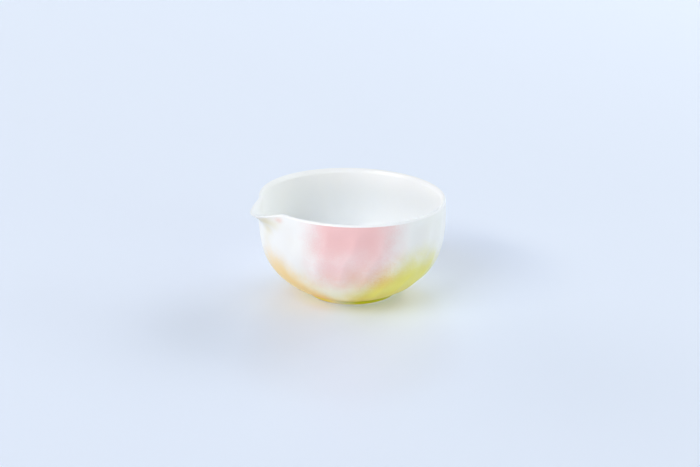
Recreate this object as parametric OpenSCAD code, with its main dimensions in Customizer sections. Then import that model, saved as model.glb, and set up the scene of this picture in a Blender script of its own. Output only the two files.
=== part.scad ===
// Small porcelain pouring bowl: a deep round dish on a low foot ring, with one lip in its rim.
// Millimetres, +Z up. The origin is on the bowl's axis, in the plane that the foot stands on.
// The lip points along -X. The rim lies in one plane, which rises a little towards the lip.

/* [Bowl] */
// Outside radius at the belly, the widest part of the wall
belly_r = 60.2; // [52:0.1:70]
// Height of the belly above the foot
belly_z = 50.4; // [47:0.2:53]
// Height of the rim, measured on the bowl's axis
rim_z = 64.4; // [62:0.2:68]
// How far the wall leans in from the belly to the rim
rim_lean = 0.5; // [0:0.05:2]
// Slope of the rim plane, in degrees, rising towards the lip
rim_tilt = 1.4; // [0:0.1:2]
// Thickness of the wall at the rim, glaze included
rim_wall = 2.9; // [2.4:0.1:3.6]
// Thickness of the wall at the foot, glaze included
floor_wall = 4.6; // [3.6:0.1:6]

/* [Lip] */
// How far the lip reaches out past the rim's circle
lip_reach = 9.5; // [6:0.5:16]
// How far below the rim the lip starts to lean out
lip_depth = 14; // [11:1:24]
// Half of the angle that the lip takes up in the rim
lip_half = 21; // [14:0.5:24]
// How far the lip's tip dips below the rim
lip_dip = 3.7; // [0:0.1:5]

/* [Foot] */
// Outside radius of the foot ring
foot_r = 29.1; // [25:0.1:30]
// Height of the foot ring
foot_h = 3.6; // [3:0.1:3.8]
// Width of the foot ring
foot_w = 3.4; // [2.6:0.1:5]
// Height of the bare, unglazed edge that the bowl stands on
bare_h = 0.6; // [0.4:0.1:2]

/* [Glaze] */
// Thickness of each coat of glaze
glaze_t = 0.3; // [0.2:0.05:0.4]
// Height of the rounded glaze bead on the rim
bead_h = 1.4; // [0.6:0.1:1.6]

/* [Hidden] */
$fn = 96;
belly_power = 2.65; // 2 gives an ellipse, more gives a squarer belly
foot_angle = 57.4; // where the lower wall ends above the foot, as an angle on the belly's curve
foot_gap = 0.3; // height of the short upright step between the foot's top and the wall's curve
belly_depth = (belly_z - foot_h - foot_gap) / pow(sin(foot_angle), 2 / belly_power);
lower_steps = 10;
upper_steps = 4;
floor_steps = 5;
bead_steps = 8;
lip_steps = 28;
lip_rows = 6;
wall_over = 3; // height that the wall is drawn above the rim before it is cut to the rim plane
channel_back = 0.8; // extra thickness of the lip behind its tip
channel_inset = 2; // degrees by which the channel is narrower than the lip on each side
floor_dish = 0.9; // how far the middle of the floor is lower than its edge
far = 200;
bead_z = rim_z - bead_h;
lip_z = bead_z - lip_depth;
rim_r = outer_r(bead_z);
floor_z = foot_h + floor_wall - glaze_t - floor_dish;

// The wall's outside: a rounded belly below, a slight lean inwards above.
function outer_r(z) =
    z < belly_z
    ? belly_r * sqrt(1 - pow((belly_z - z) / belly_depth, belly_power))
    : belly_r - rim_lean * pow((z - belly_z) / (rim_z - belly_z), 2);

// The same wall as a path from the foot up: equal steps of angle below, equal heights above.
function lower_point(angle) =
    [belly_r * cos(angle), belly_z - belly_depth * pow(sin(angle), 2 / belly_power)];
lower_path = [for (i = [0 : lower_steps - 1]) lower_point(foot_angle * (1 - i / lower_steps))];
upper_z = [for (i = [0 : upper_steps]) belly_z + (rim_z + wall_over - belly_z) * i / upper_steps];
wall_path = concat(lower_path, [for (z = upper_z) [outer_r(z), z]]);
last = len(wall_path) - 1;

// Unit vector into the wall at point i of the path.
function inward(i) =
    let (step = wall_path[min(i + 1, last)] - wall_path[max(i - 1, 0)])
    [-step[1], step[0]] / norm(step);

// The wall is thickest at the foot and thins evenly to the rim.
function wall_at(z) = rim_wall + (floor_wall - rim_wall) * pow(max(0, 1 - z / rim_z), 2);

// Paths inside the wall: a depth below its outside, or a height above its inside.
function below_outside(depth) = [for (i = [0 : last]) wall_path[i] + depth * inward(i)];
function above_inside(height) =
    [for (i = [0 : last]) wall_path[i] + (wall_at(wall_path[i][1]) - height) * inward(i)];

// The floor's surface, a shallow dish from the axis out to the start of the wall.
function floor_path(wall, lift) =
    let (edge = wall[0], middle_z = floor_z - lift)
    [for (i = [0 : floor_steps - 1])
        let (k = i / floor_steps)
        [edge[0] * k, middle_z + (edge[1] - middle_z) * pow(k, 3)]];

function reversed(list) = [for (i = [len(list) - 1 : -1 : 0]) list[i]];

function half_bead(from_r, to_r, base_z) =
    [for (i = [0 : bead_steps])
        let (angle = 180 * i / bead_steps)
        [(from_r + to_r) / 2 + (to_r - from_r) / 2 * cos(angle), base_z + bead_h * sin(angle)]];

// Lip sections. The angle is measured from -X, and rise runs from 0 at the lip's root to 1 at its edge.
function swell(angle, half) = abs(angle) < half ? pow(cos(90 * angle / half), 2) : 0;
function edge_z(angle) =
    bead_z + rim_r * tan(rim_tilt) * cos(angle) - lip_dip * swell(angle, lip_half);
function rise_z(angle, rise) = lip_z + rise * (edge_z(angle) - lip_z);
function lip_outside(angle, rise, depth) =
    let (z = rise_z(angle, rise))
    [outer_r(z) - depth + lip_reach * swell(angle, lip_half) * pow(rise, 2), z];
function lip_inside(angle, rise, height) =
    let (z = rise_z(angle, rise), half = lip_half - channel_inset)
    [outer_r(z) - wall_at(z) + height + (lip_reach - channel_back) * swell(angle, half) * pow(rise, 2), z];
function lip_column(angle, side, offset) =
    [for (i = [0 : lip_rows])
        side == "outside" ? lip_outside(angle, i / lip_rows, offset) : lip_inside(angle, i / lip_rows, offset)];
function lip_skin(angle, side, near, away) =
    concat(lip_column(angle, side, near), reversed(lip_column(angle, side, away)));
lip_angles = [for (i = [0 : lip_steps]) lip_half * (2 * i / lip_steps - 1)];

// Places a section, given as [radius, height] points, at an angle from -X.
function placed(section, angle) =
    [for (point = section) [-point[0] * cos(angle), -point[0] * sin(angle), point[1]]];

// A closed solid through sections that all have the same number of points.
module loft(sections) {
    n = len(sections[0]);
    count = len(sections);
    start = [for (j = [0 : n - 1]) j];
    end = [for (j = [n - 1 : -1 : 0]) (count - 1) * n + j];
    sides = [for (i = [0 : count - 2], j = [0 : n - 1], half = [0 : 1])
        let (a = i * n + j, b = i * n + (j + 1) % n)
        half == 0 ? [a, a + n, b] : [b, a + n, b + n]];
    polyhedron(points = [for (section = sections) each section], faces = concat([start, end], sides));
}

module above_rim() {
    translate([0, 0, bead_z]) rotate([0, rim_tilt, 0]) translate([-far, -far, 0]) cube([2 * far, 2 * far, far]);
}

module lip_gap() {
    side = far * [-cos(lip_half), sin(lip_half)];
    translate([0, 0, lip_z]) linear_extrude(far) polygon([[0, 0], [side[0], -side[1]], side]);
}

module below_rim(points) {
    difference() {
        rotate_extrude() polygon(points);
        above_rim();
        lip_gap();
    }
}

module bowl_body() {
    outside = below_outside(glaze_t);
    inside = above_inside(glaze_t);
    color("ivory")
        below_rim(concat([[0, foot_h], [outside[0][0], foot_h]], outside, reversed(inside),
            reversed(floor_path(inside, glaze_t))));
}

module pouring_lip() {
    color("ivory")
        loft([for (angle = lip_angles)
            placed(concat(lip_column(angle, "outside", glaze_t), reversed(lip_column(angle, "inside", glaze_t))),
                angle)]);
}

module foot_ring() {
    outside = foot_r - glaze_t;
    color("oldlace")
        rotate_extrude()
            polygon([[foot_r - foot_w, 0], [foot_r, 0], [foot_r, bare_h], [outside, bare_h], [outside, foot_h],
                [foot_r - foot_w, foot_h]]);
}

module outer_glaze() {
    outside = below_outside(glaze_t);
    color("pink")
        below_rim(concat([[wall_path[0][0], foot_h]], wall_path, reversed(outside), [[outside[0][0], foot_h]]));
}

module inner_glaze() {
    clay = above_inside(glaze_t);
    surface = above_inside(0);
    color("white")
        below_rim(concat(floor_path(clay, glaze_t), clay, reversed(surface), reversed(floor_path(surface, 0))));
}

module rim_glaze() {
    color("white")
        difference() {
            translate([0, 0, bead_z]) rotate([0, rim_tilt, 0]) rotate_extrude()
                polygon(half_bead(rim_r - wall_at(bead_z), rim_r, 0));
            lip_gap();
        }
}

module lip_outer_glaze() {
    color("lavenderblush")
        loft([for (angle = lip_angles) placed(lip_skin(angle, "outside", 0, glaze_t), angle)]);
}

module lip_inner_glaze() {
    color("white")
        loft([for (angle = lip_angles) placed(lip_skin(angle, "inside", glaze_t, 0), angle)]);
}

module lip_rim_glaze() {
    color("white")
        loft([for (angle = lip_angles)
            let (outside = lip_outside(angle, 1, 0), inside = lip_inside(angle, 1, 0))
            placed(half_bead(inside[0], outside[0], outside[1]), angle)]);
}

module foot_glaze() {
    color("khaki")
        difference() {
            translate([0, 0, bare_h]) cylinder(r = foot_r, h = foot_h - bare_h);
            cylinder(r = foot_r - glaze_t, h = foot_h);
        }
}

module recess_glaze() {
    color("white")
        translate([0, 0, foot_h - glaze_t]) cylinder(r = foot_r - foot_w, h = glaze_t);
}

bowl_body();
pouring_lip();
foot_ring();
outer_glaze();
inner_glaze();
rim_glaze();
lip_outer_glaze();
lip_inner_glaze();
lip_rim_glaze();
foot_glaze();
recess_glaze();
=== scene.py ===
import math

import bpy
import numpy as np
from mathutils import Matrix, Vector
from mathutils.bvhtree import BVHTree


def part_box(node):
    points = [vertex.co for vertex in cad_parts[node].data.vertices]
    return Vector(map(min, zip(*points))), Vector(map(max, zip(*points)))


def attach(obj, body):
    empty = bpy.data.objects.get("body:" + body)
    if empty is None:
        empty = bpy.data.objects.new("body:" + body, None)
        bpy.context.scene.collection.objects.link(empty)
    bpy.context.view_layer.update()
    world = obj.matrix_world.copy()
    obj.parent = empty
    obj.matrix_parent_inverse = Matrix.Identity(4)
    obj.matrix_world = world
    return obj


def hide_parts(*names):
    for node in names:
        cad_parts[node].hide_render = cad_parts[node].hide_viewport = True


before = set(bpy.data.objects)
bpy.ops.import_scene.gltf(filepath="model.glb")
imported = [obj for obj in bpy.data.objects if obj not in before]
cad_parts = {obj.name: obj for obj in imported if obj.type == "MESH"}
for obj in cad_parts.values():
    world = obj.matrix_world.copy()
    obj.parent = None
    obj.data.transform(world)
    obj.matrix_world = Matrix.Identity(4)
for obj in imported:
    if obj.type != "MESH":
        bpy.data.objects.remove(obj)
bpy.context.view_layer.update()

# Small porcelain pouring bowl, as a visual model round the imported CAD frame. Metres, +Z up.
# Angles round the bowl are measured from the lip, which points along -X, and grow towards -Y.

MM = 0.001
WELD = 1e-7  # points closer than this are one point
TINY = 1e-20  # keeps a division by a length of zero from failing

# ---------------------------------------------------------------- sizes, all from the frame

wall_low, wall_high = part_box("outer_glaze")
lip_low, lip_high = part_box("lip_outer_glaze")
lip_rim_low, lip_rim_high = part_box("lip_rim_glaze")
channel_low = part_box("lip_inner_glaze")[0]
rim_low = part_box("rim_glaze")[0]
foot_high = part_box("foot_ring")[1]
foot_glaze_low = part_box("foot_glaze")[0]
recess_low, recess_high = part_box("recess_glaze")

COAT = recess_high.z - recess_low.z
BELLY_R = wall_high.x
FOOT_R = foot_high.x
FOOT_H = foot_high.z
BARE_H = foot_glaze_low.z
RECESS_R = recess_high.x
LIP_Z = lip_low.z
LIP_HALF = math.asin(lip_high.y / BELLY_R)
CHANNEL_INSET = math.radians(2)  # by which the channel is narrower than the lip on each side
CHANNEL_HALF = LIP_HALF - CHANNEL_INSET
BESIDE_LIP = LIP_HALF + math.radians(2)  # where the wall's outlines are measured
BEAD_H = lip_rim_high.z - lip_high.z
RIM_SLOPE = (lip_high.z - rim_low.z) / (1 + math.cos(LIP_HALF))
EDGE_Z = rim_low.z + RIM_SLOPE
LIP_DIP = EDGE_Z + RIM_SLOPE - lip_rim_low.z
RIM_MIDDLE = Vector((0, 0, EDGE_Z))

# How finely the bowl's skin is divided, round it and up it
LIP_COLUMNS = 64
WALL_COLUMNS = 264
FLOOR_ROWS = 16
LOWER_ROWS = 52
LIP_ROWS = 20
BEAD_ROWS = 10
ROUND_ROWS = 4
HOLLOW_ROWS = 10

# How the outlines are measured and tabulated
RAYS = 240
FIRST_RAY_LIFT = math.radians(0.3)
TOP_ANGLE = math.radians(89.9)
OUTSIDE_POWERS = np.arange(9)
INSIDE_POWERS = 2 * np.arange(8)
TABLE_STEPS = 1500
TABLE_TOP = math.radians(92)
LOWEST_RING = 0.01 * MM


def measured_outline(node, steepest, outside):
    """The wall's surface beside the lip as a function that gives (radius, height) for an angle from
    straight down, seen from the middle of the rim. Rays measure it, and a polynomial smooths the
    CAD model's short straight steps."""
    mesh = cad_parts[node].data
    tree = BVHTree.FromPolygons([v.co for v in mesh.vertices], [p.vertices for p in mesh.polygons])
    highest = TOP_ANGLE + math.atan(RIM_SLOPE * math.cos(BESIDE_LIP) / BELLY_R)
    angles = np.linspace(steepest, highest, RAYS)
    distances = []
    for angle in angles:
        out = math.sin(angle)
        ray = Vector((-math.cos(BESIDE_LIP) * out, -math.sin(BESIDE_LIP) * out, -math.cos(angle)))
        start = RIM_MIDDLE + ray * (2 * BELLY_R) if outside else RIM_MIDDLE
        point = tree.ray_cast(start, -ray if outside else ray)[0]
        distances.append((point - RIM_MIDDLE).length)
    powers = OUTSIDE_POWERS if outside else INSIDE_POWERS
    fit = np.linalg.lstsq(angles[:, None] ** powers, np.array(distances), rcond=None)[0]

    def outline(angle):
        distance = (np.asarray(angle)[..., None] ** powers) @ fit
        return distance * np.sin(angle), RIM_MIDDLE.z - distance * np.cos(angle)

    return outline


lowest = [v.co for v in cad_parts["outer_glaze"].data.vertices if v.co.z < wall_low.z + LOWEST_RING]
wall_foot_r = max(math.hypot(co.x, co.y) for co in lowest)
wall_foot = math.atan2(wall_foot_r, RIM_MIDDLE.z - wall_low.z - COAT)
outer_outline = measured_outline("outer_glaze", wall_foot + FIRST_RAY_LIFT, True)
inner_outline = measured_outline("inner_glaze", 0.0, False)
dense = np.linspace(wall_foot, TABLE_TOP, TABLE_STEPS)
outer_r, outer_z = outer_outline(dense)
inner_r, inner_z = inner_outline(dense)

# ---------------------------------------------------------------- the bowl's skin, as rows by columns

columns = np.concatenate([
    np.linspace(-LIP_HALF, LIP_HALF, LIP_COLUMNS, endpoint=False),
    np.linspace(LIP_HALF, 2 * math.pi - LIP_HALF, WALL_COLUMNS, endpoint=False),
])
from_lip = (columns + math.pi) % (2 * math.pi) - math.pi


def swell(half):
    """1 in the middle of the lip, falling softly to 0 at the angle half on each side."""
    return np.where(abs(from_lip) < half, np.cos(np.clip(from_lip / half, -1, 1) * math.pi / 2) ** 2, 0.0)


def smooth(low, high, value):
    """0 below low and 1 above high, with a soft change between. With low above high it falls instead."""
    k = np.clip((value - low) / (high - low), 0, 1)
    return k * k * (3 - 2 * k)


def placed(radius, height):
    """Points in the frame for radii and heights, as rows by columns."""
    radius, height = np.broadcast_arrays(radius, height)
    return np.stack([-radius * np.cos(columns), -radius * np.sin(columns), height], -1)


def turned(radius, height):
    """The same outline at each column."""
    ones = np.ones(len(columns))
    return placed(np.outer(radius, ones), np.outer(height, ones))


rise = np.sin(np.linspace(0, math.pi / 2, LIP_ROWS + 1))[:, None]  # rows lie closer near the rim
edge = EDGE_Z + RIM_SLOPE * np.cos(columns) - LIP_DIP * swell(LIP_HALF)
lip_heights = LIP_Z + rise * (edge - LIP_Z)

# The inside of the rim leans outwards near its edge: straight at first, then bending into the wall.
BEVEL_SLOPE = 0.6
BEVEL_FLAT = 0.9 * MM
BEVEL_HEIGHT = 1.8 * MM


def wall_sheet(outline, table_r, table_z, bulge, bevel=0.0):
    """One side of the wall from its foot up to the rim's edge. bulge is how far each column reaches
    out into the lip, and bevel the slope by which the rim's edge leans away from the bowl's axis."""
    last = dense[np.searchsorted(table_z, LIP_Z)]
    lower = turned(*outline(np.linspace(wall_foot, last, LOWER_ROWS, endpoint=False)))
    upper = np.interp(lip_heights, table_z, table_r) + bulge * rise ** 2
    drop = np.clip(edge - lip_heights, 0, BEVEL_HEIGHT)
    bend = BEVEL_HEIGHT - BEVEL_FLAT
    straight = BEVEL_FLAT - drop + bend / 2
    curved = (BEVEL_HEIGHT - drop) ** 2 / (2 * bend)
    lean = np.where(drop < BEVEL_FLAT, straight, curved)
    return np.concatenate([lower, placed(upper + bevel * lean, lip_heights)])


CUBIC_RISE = 0.75  # a cubic curve with two upright handles rises by this share of their length


def bead_sheet(outside, inside):
    """The rounded edge that carries both sides of the wall over the rim."""
    up_outside = outside[-1] - outside[-2]
    up_inside = inside[-1] - inside[-2]
    pull = BEAD_H / CUBIC_RISE
    a, d = outside[-1], inside[-1]
    b = a + pull * up_outside / np.linalg.norm(up_outside, axis=-1, keepdims=True)
    c = d + pull * up_inside / np.linalg.norm(up_inside, axis=-1, keepdims=True)
    t = np.linspace(0, 1, BEAD_ROWS + 2)[1:-1, None, None]
    return a * (1 - t) ** 3 + 3 * b * t * (1 - t) ** 2 + 3 * c * t ** 2 * (1 - t) + d * t ** 3


def skin_normals(sheet):
    """Outward unit normals: the mean of the faces round each point."""
    across = np.roll(sheet, -1, 1) - sheet
    up = sheet[1:] - sheet[:-1]
    faces = np.cross(across[:-1] + across[1:], up + np.roll(up, -1, 1))
    faces /= np.linalg.norm(faces, axis=-1, keepdims=True) + TINY
    faces = np.concatenate([faces[:1], faces, faces[-1:]])
    corners = faces[:-1] + faces[1:]
    total = corners + np.roll(corners, 1, 1)
    return total / (np.linalg.norm(total, axis=-1, keepdims=True) + TINY)


FOOT_ROUND = 0.25 * MM
SLOPE_STEP = 0.01  # angle between the two points that give the wall's slope at its foot
HOLLOW_DROP = 1.0 * MM  # how far below the corner between foot and wall the hollow curve starts


def foot_sheet(wall_start, wall_next):
    """The foot's outside, from the bare edge up through a hollow curve into the wall. Both arguments
    are (radius, height) points on the wall's outline."""
    turn = np.linspace(0, math.pi / 2, ROUND_ROWS)
    r = FOOT_R - FOOT_ROUND + FOOT_ROUND * np.sin(turn)
    z = BARE_H + FOOT_ROUND - FOOT_ROUND * np.cos(turn)
    slope = (wall_next[1] - wall_start[1]) / (wall_next[0] - wall_start[0])
    corner_z = wall_start[1] - slope * (wall_start[0] - FOOT_R)
    t = np.linspace(0, 1, HOLLOW_ROWS + 1)[:-1]
    start_z = corner_z - HOLLOW_DROP
    curve_r = FOOT_R * ((1 - t) ** 2 + 2 * t * (1 - t)) + wall_start[0] * t ** 2
    curve_z = start_z * (1 - t) ** 2 + corner_z * 2 * t * (1 - t) + wall_start[1] * t ** 2
    return turned(np.concatenate([r, curve_r]), np.concatenate([z, curve_z]))


# Hammered dimples: rows of shallow scoops in the outside. Each row is (height of its middle, share of
# a scoop by which it is set off, depth). Sizes and places vary a little from scoop to scoop.
DIMPLE_SEED = 7
DIMPLES_ROUND = 21
DIMPLE_ROWS = ((12 * MM, 0.5, 0.60 * MM), (31 * MM, 0.0, 0.88 * MM), (50.5 * MM, 0.5, 0.85 * MM))
FIRST_DIMPLE = math.radians(47.5)
DIMPLE_WIDTH = 0.53
DIMPLE_HEIGHT = 16 * MM
DIMPLE_LEAN = -3.0  # radians per metre of height
RIDGE_SOFTNESS = 0.045 * MM
VARY_ANGLE = 0.08
VARY_HEIGHT = 1.6 * MM
VARY_WIDTH = 0.06
VARY_DEPTH = 0.15
DEPTH_AT_LIP = 0.2


def dimple_depth(angle, height):
    """How far in the outside is pressed at each point: bowl-shaped scoops that meet in soft ridges."""
    rng = np.random.default_rng(DIMPLE_SEED)
    spacing = 2 * math.pi / DIMPLES_ROUND
    total = np.ones(np.broadcast(angle, height).shape)
    for row_z, offset, deepest in DIMPLE_ROWS:
        for k in range(DIMPLES_ROUND):
            jitter = rng.uniform(-1, 1, 4)
            centre = FIRST_DIMPLE + (k + offset + VARY_ANGLE * jitter[0]) * spacing
            centre_z = row_z + VARY_HEIGHT * jitter[1]
            across = (angle - centre + math.pi) % (2 * math.pi) - math.pi
            across = across + (height - centre_z) * DIMPLE_LEAN
            u = across / (spacing * DIMPLE_WIDTH * (1 + VARY_WIDTH * jitter[2]))
            v = (height - centre_z) / DIMPLE_HEIGHT
            scoop = deepest * (1 + VARY_DEPTH * jitter[3]) * (1 - u * u - v * v)
            total = total + np.exp(scoop / RIDGE_SOFTNESS)
    depth = RIDGE_SOFTNESS * np.log(total)
    off_lip = abs((angle + math.pi) % (2 * math.pi) - math.pi)
    away_from_lip = smooth(math.radians(12), math.radians(30), off_lip)
    below_rim = smooth(63 * MM, 56 * MM, height)
    above_foot = smooth(5 * MM, 12 * MM, height)
    return depth * below_rim * above_foot * (DEPTH_AT_LIP + (1 - DEPTH_AT_LIP) * away_from_lip)


def wall_sheets(lip_reach, channel_reach):
    """The outside and the inside of the wall, for how far the lip and its channel reach out."""
    outside = wall_sheet(outer_outline, outer_r, outer_z, lip_reach * swell(LIP_HALF))
    inside = wall_sheet(inner_outline, inner_r, inner_z, channel_reach * swell(CHANNEL_HALF), BEVEL_SLOPE)
    return outside, inside


tip_edge = EDGE_Z + RIM_SLOPE - LIP_DIP
lip_reach = -lip_rim_low.x - np.interp(tip_edge, outer_z, outer_r)
channel_reach = -channel_low.x - COAT - np.interp(tip_edge, inner_z, inner_r)
# The rounded edge hangs a little past the lip's own edge, so the lip is drawn in by that much.
for _ in range(2):
    overhang = lip_rim_low.x - bead_sheet(*wall_sheets(lip_reach, channel_reach))[..., 0].min()
    lip_reach -= overhang
    channel_reach -= overhang
outside, inside = wall_sheets(lip_reach, channel_reach)
pressed = dimple_depth(columns[None, :], outside[..., 2])
outside = outside - pressed[..., None] * skin_normals(outside)
floor = turned(*inner_outline(np.linspace(0, wall_foot, FLOOR_ROWS, endpoint=False)))

start_r, start_z = outer_outline(np.array([wall_foot, wall_foot + SLOPE_STEP]))
foot = foot_sheet((start_r[0], start_z[0]), (start_r[1], start_z[1]))
bead = bead_sheet(outside, inside)
skin = np.concatenate([foot, outside, bead, inside[::-1], floor[::-1]])
normals = skin_normals(skin)
normals[-1] = (0, 0, 1)
clay = skin - COAT * normals

foot_end = len(foot)
wall_end = foot_end + len(outside)
bead_end = wall_end + len(bead)
lip_row = foot_end + LOWER_ROWS
channel_row = bead_end + LIP_ROWS

# ---------------------------------------------------------------- closed pieces


def make_piece(name, points, faces, loop_normals=None, values=None):
    """A mesh from faces of four corners, with equal points joined and empty faces left out.
    values maps a name to one number per point."""
    grid = np.round(points / WELD).astype(np.int64)
    _, first, same = np.unique(grid, axis=0, return_index=True, return_inverse=True)
    corners = same.ravel()[faces]
    distinct = corners != np.roll(corners, 1, 1)
    solid = distinct.sum(1) > 2
    corners, distinct = corners[solid], distinct[solid]
    used, corners = np.unique(corners, return_inverse=True)
    corners = corners.reshape(-1, 4)
    mesh = bpy.data.meshes.new(name)
    polygons = [face[kept].tolist() for face, kept in zip(corners, distinct)]
    mesh.from_pydata(points[first[used]].tolist(), [], polygons)
    if loop_normals is not None:
        mesh.normals_split_custom_set(loop_normals[solid][distinct].tolist())
    for attribute, numbers in (values or {}).items():
        mesh.attributes.new(attribute, "FLOAT", "POINT").data.foreach_set("value", numbers[first[used]])
    piece = bpy.data.objects.new(name, mesh)
    bpy.context.scene.collection.objects.link(piece)
    return piece


def shell(name, outer, inner, outer_normals, keep, paint=None):
    """A closed piece between two sheets of points: the cells that keep marks, and walls round them.
    paint maps a name to one number per point of the outer sheet."""
    rows, cols = outer.shape[:2]
    number = np.arange(rows * cols).reshape(rows, cols)
    i, j = np.nonzero(keep)
    n = (j + 1) % cols
    front = np.stack([number[i, j], number[i, n], number[i + 1, n], number[i + 1, j]], 1)
    padded = np.pad(keep, ((1, 1), (0, 0)))
    beyond = [padded[i, j], keep[i, n], padded[i + 2, j], keep[i, j - 1]]
    walls = []
    for k, covered in enumerate(beyond):
        start, end = front[~covered, k], front[~covered, (k + 1) % 4]
        walls.append(np.stack([end, start, start + number.size, end + number.size], 1))
    walls = np.concatenate(walls)
    back = front[:, ::-1] + number.size
    points = np.concatenate([outer.reshape(-1, 3), inner.reshape(-1, 3)])
    flat = np.cross(points[walls[:, 2]] - points[walls[:, 0]], points[walls[:, 3]] - points[walls[:, 1]])
    flat /= np.linalg.norm(flat, axis=-1, keepdims=True) + TINY
    smooth_normals = np.concatenate([outer_normals.reshape(-1, 3), -outer_normals.reshape(-1, 3)])
    wall_normals = np.repeat(flat[:, None], 4, 1)
    loop_normals = np.concatenate([smooth_normals[front], smooth_normals[back], wall_normals])
    values = {key: np.tile(numbers.ravel(), 2) for key, numbers in (paint or {}).items()}
    return make_piece(name, points, np.concatenate([front, back, walls]), loop_normals, values)


def in_lip(first_row, last_row, from_row, to_row):
    """Which cells of a sheet belong to the lip: those in its columns, from one row to another."""
    cells = np.zeros((last_row - first_row - 1, len(columns)), bool)
    cells[from_row - first_row:to_row - first_row, :LIP_COLUMNS] = True
    return cells


TURN_STEPS = 180
SHARP_EDGE = math.radians(40)


def revolve(name, section):
    """A closed piece turned about Z from a closed section of (radius, height) points."""
    turns = np.linspace(0, 2 * math.pi, TURN_STEPS, endpoint=False)
    radius, height = np.array(section).T[:, :, None]
    rings = np.stack(np.broadcast_arrays(radius * np.cos(turns), radius * np.sin(turns), height), -1)
    number = np.arange(len(section) * TURN_STEPS).reshape(-1, TURN_STEPS)
    above = np.roll(number, -1, 0)
    faces = np.stack([number, np.roll(number, -1, 1), np.roll(above, -1, 1), above], -1).reshape(-1, 4)
    piece = make_piece(name, rings.reshape(-1, 3), faces)
    piece.data.polygons.foreach_set("use_smooth", [True] * len(piece.data.polygons))
    piece.data.set_sharp_from_angle(angle=SHARP_EDGE)
    return piece


# ---------------------------------------------------------------- sprayed colours and painted shade on the outside

# Where each tint lies, as one number from 0 to 1 per point of the skin. Angles are in degrees round the
# bowl from the lip, and heights in millimetres. The front, which the photo shows, is round 64 degrees.
degrees = np.degrees(from_lip)[None, :]
heights = skin[:, :, 2] / MM


def turned_by(middle):
    """Degrees round the bowl from a middle angle, from -180 to 180."""
    return (degrees - middle + 180) % 360 - 180


around = turned_by(0)


def below_line(middle, line, soft):
    """Full below a line through (angle from the middle, height) points, fading out above it."""
    angles, tops = zip(*line)
    return smooth(soft, -soft, heights - np.interp(turned_by(middle), angles, tops))


def spot(angle, height, wide, tall):
    """A soft round spot of colour."""
    return np.exp(-((around - angle) / wide) ** 2 - ((heights - height) / tall) ** 2)


PINK_BACK = 236  # the middle of the second pink patch
PINK_BACK_STRENGTH = 0.85
GREEN_LINE = ((-47, 6), (-36, 15), (-27, 25), (-20, 31), (-8, 36), (8, 38), (20, 35), (28, 29), (34, 23),
              (40, 17), (60, 4))
ORANGE_LINE = ((-75, 4), (-45, 12), (-20, 22), (-8, 33), (2, 35), (12, 33), (18, 28), (24, 23), (34, 16),
               (46, 7))

pink_rows = 0.74 * smooth(13, 29, heights) + 0.26 * smooth(38, 54, heights)
pink_front = smooth(27, 52, around) * smooth(104, 74, around)
from_back = turned_by(PINK_BACK)
pink_back = PINK_BACK_STRENGTH * smooth(-40, -10, from_back) * smooth(42, 12, from_back)

beige = smooth(56, 66, around) * smooth(84, 74, around) * smooth(6, 14, heights) * smooth(44, 24, heights)

orange_at_front = smooth(13, 5, heights) * np.exp(-((around - 32) / 11) ** 2)
orange_past_lip = 0.5 * smooth(16, 5, heights) * smooth(2, -16, around) * smooth(-100, -70, around)

# Under the lip: a darker yellow, part sprayed tint and part painted shade on the lip's underside.
lip_tint_and_shade = np.maximum(spot(6, 58.5, 8, 4.2), 0.8 * spot(4, 53.5, 5, 4.5)) + 0.3 * spot(0, 46, 4, 5)

foot_orange = smooth(56, 30, around) * smooth(-96, -70, around)
foot_green = smooth(28, 76, around) + smooth(-160, -180, around)

no_dimples = np.zeros((len(skin) - wall_end, len(columns)))
paint = {
    "pink": (pink_front + pink_back) * pink_rows,
    "green": below_line(104, GREEN_LINE, 13),
    "orange": below_line(4, ORANGE_LINE, 12),
    "beige": beige,
    "deep_orange": orange_at_front + orange_past_lip,
    "wash": smooth(38, 14, heights),
    "under_lip": lip_tint_and_shade,
    "lip_blush": spot(15.8, 61.6, 2.6, 1.8),
    "foot_orange": np.broadcast_to(foot_orange, heights.shape),
    "foot_green": np.broadcast_to(foot_green, heights.shape),
    # hollow: how deeply each dimple presses in. It carries pooled glaze and painted shade in the dimples.
    "hollow": np.concatenate([np.zeros(foot.shape[:2]), pressed / pressed.max(), no_dimples]),
}


def part_of(first, last):
    """The tints of some rows of the skin."""
    return {name: values[first:last] for name, values in paint.items()}


# ---------------------------------------------------------------- materials


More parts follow.
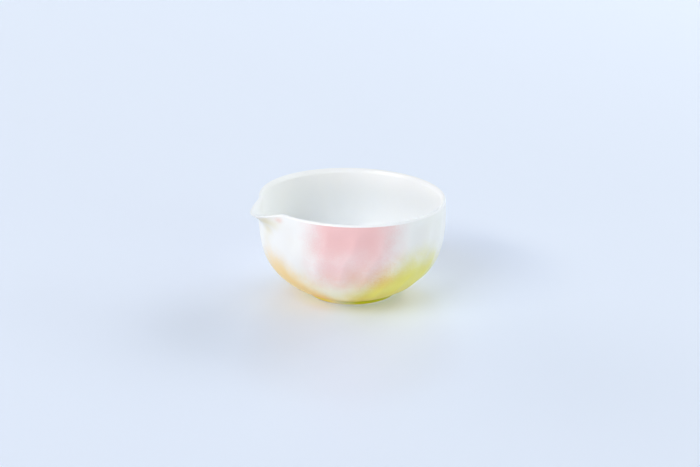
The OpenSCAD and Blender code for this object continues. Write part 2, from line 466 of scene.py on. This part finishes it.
class Shader:
    """Builds one material's nodes. Inputs are numbers, colours or other nodes' sockets."""

    def __init__(self, name):
        self.material = bpy.data.materials.new(name)
        self.material.use_nodes = True
        self.tree = self.material.node_tree
        self.surface = self.tree.nodes["Principled BSDF"]
        self.place = self.add("ShaderNodeTexCoord").outputs["Object"]

    def add(self, kind, inputs=(), **settings):
        node = self.tree.nodes.new(kind)
        for key, value in settings.items():
            setattr(node, key, value)
        for key, value in dict(inputs).items():
            self.feed(node.inputs[key], value)
        return node

    def feed(self, socket, value):
        if isinstance(value, bpy.types.NodeSocket):
            self.tree.links.new(value, socket)
        else:
            socket.default_value = value

    def noise(self, scale, detail=2.0, roughness=0.5):
        values = {"Vector": self.place, "Scale": scale, "Detail": detail, "Roughness": roughness}
        return self.add("ShaderNodeTexNoise", values).outputs["Fac"]

    def spread(self, value, low, high, to_low=0.0, to_high=1.0):
        """Stretches the values between low and high, softly, over to_low to to_high."""
        values = {"Value": value, "From Min": low, "From Max": high, "To Min": to_low, "To Max": to_high}
        return self.add("ShaderNodeMapRange", values, interpolation_type="SMOOTHSTEP").outputs["Result"]

    def calculate(self, operation, a, b):
        return self.add("ShaderNodeMath", {0: a, 1: b}, operation=operation, use_clamp=True).outputs[0]

    def value(self, name):
        return self.add("ShaderNodeAttribute", attribute_name=name).outputs["Fac"]

    def mix(self, amount, a, b, blend="MIX"):
        """Mixes two colours. No channel passes 1, so no surface gives back more light than it gets."""
        node = self.add("ShaderNodeMix", data_type="RGBA", blend_type=blend, clamp_result=True)
        self.feed(node.inputs[0], amount)
        self.feed(node.inputs[6], a)
        self.feed(node.inputs[7], b)
        return node.outputs[2]

    def bumps(self, *layers):
        """Height layers of (value, depth), one on top of the other."""
        normal = None
        for height, depth in layers:
            values = {"Height": height, "Distance": depth}
            if normal is not None:
                values["Normal"] = normal
            normal = self.add("ShaderNodeBump", values).outputs["Normal"]
        self.feed(self.surface.inputs["Normal"], normal)

    def finish(self, colour, roughness):
        self.feed(self.surface.inputs["Base Color"], colour)
        self.feed(self.surface.inputs["Roughness"], roughness)
        return self.material


# Two tones that drift into each other, for the outside and for the lining
WHITE = ((0.91, 0.91, 0.885, 1), (0.90, 0.905, 0.89, 1))
LINING_WHITE = ((0.955, 0.945, 0.94, 1), (0.945, 0.94, 0.94, 1))

# Noise scales are in waves per metre
TONE_DRIFT = 28
GLOSS_DRIFT = 60
EDGE_DRIFT = 95
SPRAY_GRAIN = 1500
RIPPLE = 150
FINE_RIPPLE = 900
RIPPLE_DEPTH = 0.012 * MM
FINE_RIPPLE_DEPTH = 0.0012 * MM
GLAZE_ROUGHNESS = (0.28, 0.32)
EDGE_WANDER = 0.9
EDGE_GRAIN = 0.5


def glazed(name, whites, tints):
    """Softly glossy glaze: white with a faint drift of tone, tints under it, a fine ripple on it.
    The tints are sprayed colours, and on the wall also painted shade.
    tints is a list of (attribute that says where, colour, strength)."""
    shader = Shader(name)
    colour = shader.mix(shader.spread(shader.noise(TONE_DRIFT, 2), 0.35, 0.65), *whites)
    spray = shader.noise(SPRAY_GRAIN, 1)
    drift = shader.noise(EDGE_DRIFT, 3)
    for attribute, tint, strength in tints:
        amount = shader.value(attribute)
        edge_band = shader.calculate("MULTIPLY", amount, shader.calculate("SUBTRACT", 1.0, amount))
        wander = shader.calculate("MULTIPLY", edge_band, shader.spread(drift, 0.3, 0.7, 0.0, EDGE_WANDER))
        grain = shader.calculate("MULTIPLY", edge_band, shader.spread(spray, 0.42, 0.62, 0.0, EDGE_GRAIN))
        amount = shader.calculate("ADD", shader.calculate("SUBTRACT", amount, wander), grain)
        colour = shader.mix(shader.calculate("MULTIPLY", amount, strength), colour, tint, "MULTIPLY")
    shader.bumps((shader.noise(RIPPLE, 2), RIPPLE_DEPTH), (shader.noise(FINE_RIPPLE, 1), FINE_RIPPLE_DEPTH))
    return shader.finish(colour, shader.spread(shader.noise(GLOSS_DRIFT, 3), 0.3, 0.7, *GLAZE_ROUGHNESS))


CLAY_PALE = (0.86, 0.84, 0.79, 1)
CLAY_WARM = (0.80, 0.775, 0.72, 1)
CLAY_SPECK = (0.66, 0.62, 0.55, 1)
CLAY_DRIFT = 120
CLAY_GRAIN = 2200
CLAY_GRAIN_DEPTH = 0.02 * MM
CLAY_ROUGHNESS = (0.55, 0.75)


def bare_clay(name):
    """Unglazed fired porcelain: matte, a little warm, with a fine grain."""
    shader = Shader(name)
    grain = shader.noise(CLAY_GRAIN, 3, 0.6)
    colour = shader.mix(shader.spread(shader.noise(CLAY_DRIFT, 3), 0.3, 0.7), CLAY_WARM, CLAY_PALE)
    colour = shader.mix(shader.spread(grain, 0.62, 0.72), colour, CLAY_SPECK)
    shader.bumps((grain, CLAY_GRAIN_DEPTH))
    return shader.finish(colour, shader.spread(grain, 0.3, 0.7, *CLAY_ROUGHNESS))


# Tints multiply the white below them
PINK = (0.98, 0.60, 0.605, 1)
GREEN = (0.90, 0.85, 0.20, 1)
ORANGE = (1.06, 0.77, 0.35, 1)
BEIGE = (0.95, 0.92, 0.80, 1)
DEEP_ORANGE = (1.08, 0.74, 0.34, 1)
YELLOW_WASH = (1.02, 1.0, 0.80, 1)
# Darker yellow under the lip: part tint, part painted shade.
YELLOW_TINT_AND_SHADE = (0.93, 0.87, 0.66, 1)
BLUSH = (0.96, 0.80, 0.76, 1)
FOOT_ORANGE = (1.14, 0.90, 0.18, 1)
OLIVE = (0.68, 0.69, 0.0, 1)
# Pooled glaze and painted shade: a darker tint, deepest in each dimple, for the shade that falls in the
# hollows.
POOLED_GLAZE_AND_SHADE = (0.95, 0.935, 0.93, 1)

# The outside's glaze holds the sprayed colours, and also painted shade under the lip and in the dimples.
wall_glaze = glazed("sprayed_glaze", WHITE, [
    ("pink", PINK, 1.0),
    ("green", GREEN, 1.0),
    ("orange", ORANGE, 1.0),
    ("beige", BEIGE, 1.0),
    ("deep_orange", DEEP_ORANGE, 1.0),
    ("wash", YELLOW_WASH, 1.0),
    # Painted shade, with a yellow tint, under the lip.
    ("under_lip", YELLOW_TINT_AND_SHADE, 1.0),
    ("lip_blush", BLUSH, 1.0),
    # Painted shade, with pooled glaze, darkens the dimples.
    ("hollow", POOLED_GLAZE_AND_SHADE, 0.8),
])
foot_glaze = glazed("foot_tint_glaze", WHITE, [
    ("foot_orange", FOOT_ORANGE, 1.0),
    ("foot_green", OLIVE, 1.0),
])
white_glaze = glazed("white_glaze", LINING_WHITE, [])
porcelain = bare_clay("porcelain")
bare_porcelain = bare_clay("bare_porcelain")

# ---------------------------------------------------------------- the pieces


def finish_piece(piece, node, material):
    """Gives a piece its material, hides the CAD node it stands for and hangs the piece under the root body.
    """
    piece.data.materials.append(material)
    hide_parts(node)
    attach(piece, "root")


def coat(name, first, last, cells, paint_it):
    """A coat of glaze between two rows of the skin, with or without the sprayed tints."""
    return shell(name, skin[first:last], clay[first:last], normals[first:last], cells,
                 part_of(first, last) if paint_it else None)


lip_outside = in_lip(foot_end, wall_end, lip_row, wall_end)
for name, node, cells in (("outer_coat", "outer_glaze", ~lip_outside),
                          ("lip_outer_coat", "lip_outer_glaze", lip_outside)):
    finish_piece(coat(name, foot_end, wall_end, cells, True), node, wall_glaze)

lip_inside = in_lip(bead_end, len(skin), bead_end, channel_row)
for name, node, cells in (("inner_coat", "inner_glaze", ~lip_inside),
                          ("lip_channel_coat", "lip_inner_glaze", lip_inside)):
    finish_piece(coat(name, bead_end, len(skin), cells, False), node, white_glaze)

# The bead sits on a flat base across the wall's edge.
bead_rows = slice(wall_end - 1, bead_end + 1)
across = np.linspace(0, 1, BEAD_ROWS + 2)[:, None, None]
bead_base = skin[wall_end - 1] * (1 - across) + skin[bead_end] * across
lip_bead = np.zeros((BEAD_ROWS + 1, len(columns)), bool)
lip_bead[:, :LIP_COLUMNS] = True
for name, node, cells in (("rim_bead", "rim_glaze", ~lip_bead),
                          ("lip_rim_bead", "lip_rim_glaze", lip_bead)):
    piece = shell(name, skin[bead_rows], bead_base, normals[bead_rows], cells)
    finish_piece(piece, node, white_glaze)

# The clay wall: its outside with a flat underside, and its inside, as two sheets of equal rows.
clay_foot_r = np.hypot(*clay[foot_end, 0, :2])
underside = turned(np.linspace(0, clay_foot_r, FLOOR_ROWS, endpoint=False), np.full(FLOOR_ROWS, FOOT_H))
clay_outside = np.concatenate([underside, clay[foot_end:wall_end]])
clay_inside = clay[bead_end:][::-1]
clay_normals = np.concatenate([np.zeros(underside.shape) - (0, 0, 1), normals[foot_end:wall_end]])
lip_clay = in_lip(0, len(clay_outside), FLOOR_ROWS + LOWER_ROWS, len(clay_outside))
for name, node, cells in (("porcelain_wall", "bowl_body", ~lip_clay),
                          ("porcelain_lip", "pouring_lip", lip_clay)):
    piece = shell(name, clay_outside, clay_inside, clay_normals, cells)
    finish_piece(piece, node, porcelain)

# The foot's coat, which pools in the corner under the wall.
foot_clay_r = FOOT_R - COAT
upright_rows = (foot_end + 1) // 2
level_rows = foot_end - upright_rows
foot_inside = np.concatenate([
    turned(np.full(upright_rows, foot_clay_r), np.linspace(BARE_H, FOOT_H, upright_rows)),
    turned(np.linspace(foot_clay_r, clay_foot_r, level_rows + 1)[1:], np.full(level_rows, FOOT_H)),
    clay[foot_end:foot_end + 1],
])
foot_rows = slice(foot_end + 1)
foot_cells = np.ones((foot_end, len(columns)), bool)
foot_coat = shell("foot_coat", skin[foot_rows], foot_inside, normals[foot_rows], foot_cells,
                  part_of(0, foot_end + 1))
finish_piece(foot_coat, "foot_glaze", foot_glaze)


def arc(centre, radius, start, end, steps=5):
    """Points on a part of a circle, from one angle to another in degrees."""
    turn = np.radians(np.linspace(start, end, steps))
    return [(centre[0] + radius * math.cos(t), centre[1] + radius * math.sin(t)) for t in turn]


# The foot ring's bare edge is rounded by wear.
WORN = 0.35 * MM
porcelain_foot = revolve("porcelain_foot", [
    *arc((RECESS_R + WORN, WORN), WORN, 180, 270),
    *arc((FOOT_R - WORN, WORN), WORN, -90, 0),
    (FOOT_R, BARE_H),
    (foot_clay_r, BARE_H),
    (foot_clay_r, FOOT_H),
    (RECESS_R, FOOT_H),
])
finish_piece(porcelain_foot, "foot_ring", bare_porcelain)

# The coat under the floor creeps a little way down the inside of the foot ring.
CREEP = 0.5 * MM
recess_coat = revolve("recess_coat", [
    (0, recess_low.z),
    *arc((RECESS_R - CREEP, recess_low.z - CREEP), CREEP, 90, 20),
    (RECESS_R, recess_low.z - CREEP),
    (RECESS_R, recess_high.z),
    (0, recess_high.z),
])
finish_piece(recess_coat, "recess_glaze", white_glaze)

# ---------------------------------------------------------------- floor, light and camera

CAMERA_TURN = math.radians(-26)
CAMERA_RISE = math.radians(20.4)
CAMERA_DISTANCE = 1.0
CAMERA_AIM = Vector((0, 0, 0.0381))
CAMERA_SHIFT = 0.0014  # how far left of the bowl's axis the camera aims
LENS = 79.5
SENSOR_WIDTH = 36
BOWL_MIDDLE = Vector((0, 0, 0.032))


def direction(turn, elevation):
    """From the bowl towards a place at that angle right of the camera and that height, in degrees."""
    t, e = CAMERA_TURN + math.radians(turn), math.radians(elevation)
    return Vector((math.sin(t) * math.cos(e), -math.cos(t) * math.cos(e), math.sin(e)))


def aimed(obj, place, target):
    """Adds a lamp or camera to the scene at a place, looking at a target."""
    obj.location = place
    obj.rotation_mode = "QUATERNION"
    obj.rotation_quaternion = (target - place).to_track_quat("-Z", "Y")
    bpy.context.scene.collection.objects.link(obj)


LAMP_DISTANCE = 3.0


def softbox(name, turn, elevation, width, height, power, colour, mirrored):
    """A soft lamp, aimed at the bowl. Only a mirrored one shows as a highlight in the glaze."""
    light = bpy.data.lights.new(name, "AREA")
    light.shape = "RECTANGLE"
    light.size, light.size_y = width, height
    light.energy = power
    light.color = colour
    lamp = bpy.data.objects.new(name, light)
    lamp.visible_glossy = mirrored
    aimed(lamp, BOWL_MIDDLE + direction(turn, elevation) * LAMP_DISTANCE, BOWL_MIDDLE)


# name, degrees right of the camera, elevation, width, height, watts, colour, whether it shows in the glaze
LAMPS = (
    ("key_left", -50, 37, 2.3, 0.55, 38.0, (1.0, 0.98, 0.82), True),
    ("sky_left", -45, 52, 1.8, 1.2, 28.0, (0.38, 0.54, 0.92), False),
    ("side_left", -90, 32, 1.8, 1.2, 5.0, (1.0, 0.94, 0.80), False),
    ("back_left", -135, 12, 1.8, 1.2, 30.0, (1.0, 0.97, 0.91), False),
    ("back", -180, 32, 0.5, 0.4, 12.0, (0.6, 0.83, 1.0), False),
    ("back_right", 135, 32, 1.8, 1.2, 38.0, (0.92, 0.94, 0.97), False),
    ("side_right", 106, 37, 1.8, 1.2, 9.0, (0.94, 0.99, 0.96), False),
    ("rim_right", 100, 21, 1.6, 0.45, 14.0, (0.92, 1.0, 0.96), True),
    ("overhead", 0, 80, 1.8, 1.8, 3.0, (1.0, 0.98, 0.98), False),
    ("front_right", 45, 32, 1.8, 1.2, 9.0, (0.88, 0.98, 0.76), False),
    ("low_right", 45, 12, 1.8, 1.2, 12.5, (0.91, 1.0, 0.97), False),
    ("low_front", 0, 5, 1.8, 0.5, 11.0, (1.0, 0.78, 0.78), False),
    ("low_left", -40, 5, 1.8, 0.5, 12.0, (1.0, 0.90, 0.82), False),
)
for lamp in LAMPS:
    softbox(*lamp)

# The pale room is seen directly and in reflections, but gives no diffuse light.
ROOM_COLOUR = (0.88, 0.94, 1.0, 1)
ROOM_STRENGTH = 0.9
world = bpy.data.worlds.new("pale_room")
bpy.context.scene.world = world
world.use_nodes = True
world.cycles_visibility.diffuse = False
background = world.node_tree.nodes["Background"]
background.inputs["Color"].default_value = ROOM_COLOUR
background.inputs["Strength"].default_value = ROOM_STRENGTH

FLOOR_HALF = 6.0
floor_mesh = bpy.data.meshes.new("table")
floor_corners = [(x * FLOOR_HALF, y * FLOOR_HALF, 0) for x, y in ((-1, -1), (1, -1), (1, 1), (-1, 1))]
floor_mesh.from_pydata(floor_corners, [], [(0, 1, 2, 3)])
table = bpy.data.objects.new("table", floor_mesh)
bpy.context.scene.collection.objects.link(table)

# The table glows faintly, which keeps the shadow as pale as in a bright room.
TABLE_COLOUR = (0.63, 0.66, 0.74, 1)
TABLE_GLOW_COLOUR = (0.80, 0.87, 1.0, 1)
TABLE_GLOW = 0.20
TABLE_ROUGHNESS = 0.38
TABLE_GLOSS = 0.3
table_shader = Shader("pale_table")
table_shader.feed(table_shader.surface.inputs["Specular IOR Level"], TABLE_GLOSS)
table_shader.feed(table_shader.surface.inputs["Emission Color"], TABLE_GLOW_COLOUR)
table_shader.feed(table_shader.surface.inputs["Emission Strength"], TABLE_GLOW)
table_material = table_shader.finish(TABLE_COLOUR, TABLE_ROUGHNESS)
table_material.cycles.emission_sampling = "NONE"
table.data.materials.append(table_material)

camera = bpy.data.objects.new("camera", bpy.data.cameras.new("camera"))
camera.data.lens = LENS
camera.data.sensor_width = SENSOR_WIDTH
eye = BOWL_MIDDLE + direction(0, math.degrees(CAMERA_RISE)) * CAMERA_DISTANCE
right = Vector((math.cos(CAMERA_TURN), math.sin(CAMERA_TURN), 0))
aimed(camera, eye, CAMERA_AIM - right * CAMERA_SHIFT)
bpy.context.scene.camera = camera
bpy.context.scene.view_settings.view_transform = "Standard"

bpy.context.view_layer.update()
